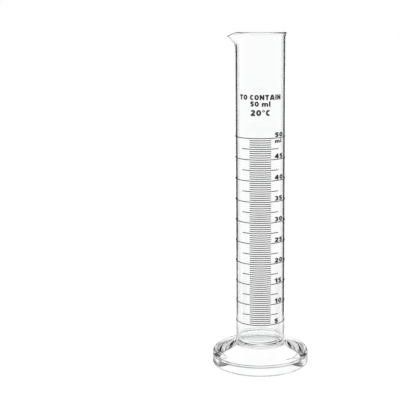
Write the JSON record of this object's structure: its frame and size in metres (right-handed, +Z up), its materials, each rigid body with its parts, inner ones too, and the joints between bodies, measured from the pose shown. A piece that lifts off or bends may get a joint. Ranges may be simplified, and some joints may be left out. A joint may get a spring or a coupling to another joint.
{
  "type": "graduated measuring cylinder",
  "caption": "Glass measuring cylinder with a pouring spout, a printed 50 ml scale and a round pressed-glass foot.",
  "frame": {"origin": "centre of the foot's underside, on the surface that the cylinder stands on", "axes": "+Z up along the barrel, the pouring spout towards -X, the scale and its numbers facing -Y"},
  "size_m": [0.0516, 0.0516, 0.1754],
  "materials": {
    "barrel_glass": "clear drawn borosilicate tube, flame-polished",
    "foot_glass": "clear pressed borosilicate glass",
    "enamel": "black fired-on screen-printed enamel, satin"
  },
  "bodies": {
    "root": {"barrel": "barrel_glass", "foot": "foot_glass", "long_mark_10": "enamel", "long_mark_15": "enamel", "long_mark_20": "enamel", "long_mark_25": "enamel", "long_mark_30": "enamel", "long_mark_35": "enamel", "long_mark_40": "enamel", "long_mark_45": "enamel", "long_mark_5": "enamel", "long_mark_50": "enamel", "marking_1_glyph_1": "enamel", "marking_1_glyph_2": "enamel", "marking_1_glyph_3": "enamel", "marking_1_glyph_4": "enamel", "marking_1_glyph_5": "enamel", "marking_1_glyph_6": "enamel", "marking_1_glyph_7": "enamel", "marking_1_glyph_8": "enamel", "marking_1_glyph_9": "enamel", "marking_2_glyph_1": "enamel", "marking_2_glyph_2": "enamel", "marking_2_glyph_3": "enamel", "marking_2_glyph_4": "enamel", "marking_3_glyph_1": "enamel", "marking_3_glyph_2": "enamel", "marking_3_glyph_3": "enamel", "marking_3_glyph_4": "enamel", "medium_mark_12_5": "enamel", "medium_mark_17_5": "enamel", "medium_mark_22_5": "enamel", "medium_mark_27_5": "enamel", "medium_mark_32_5": "enamel", "medium_mark_37_5": "enamel", "medium_mark_42_5": "enamel", "medium_mark_47_5": "enamel", "medium_mark_7_5": "enamel", "number_10_0": "enamel", "number_10_1": "enamel", "number_15_1": "enamel", "number_15_5": "enamel", "number_20_0": "enamel", "number_20_2": "enamel", "number_25_2": "enamel", "number_25_5": "enamel", "number_30_0": "enamel", "number_30_3": "enamel", "number_35_3": "enamel", "number_35_5": "enamel", "number_40_0": "enamel", "number_40_4": "enamel", "number_45_4": "enamel", "number_45_5": "enamel", "number_50_0": "enamel", "number_50_5": "enamel", "number_5_5": "enamel", "unit_l": "enamel", "unit_m": "enamel"}
  },
  "joints": []
}
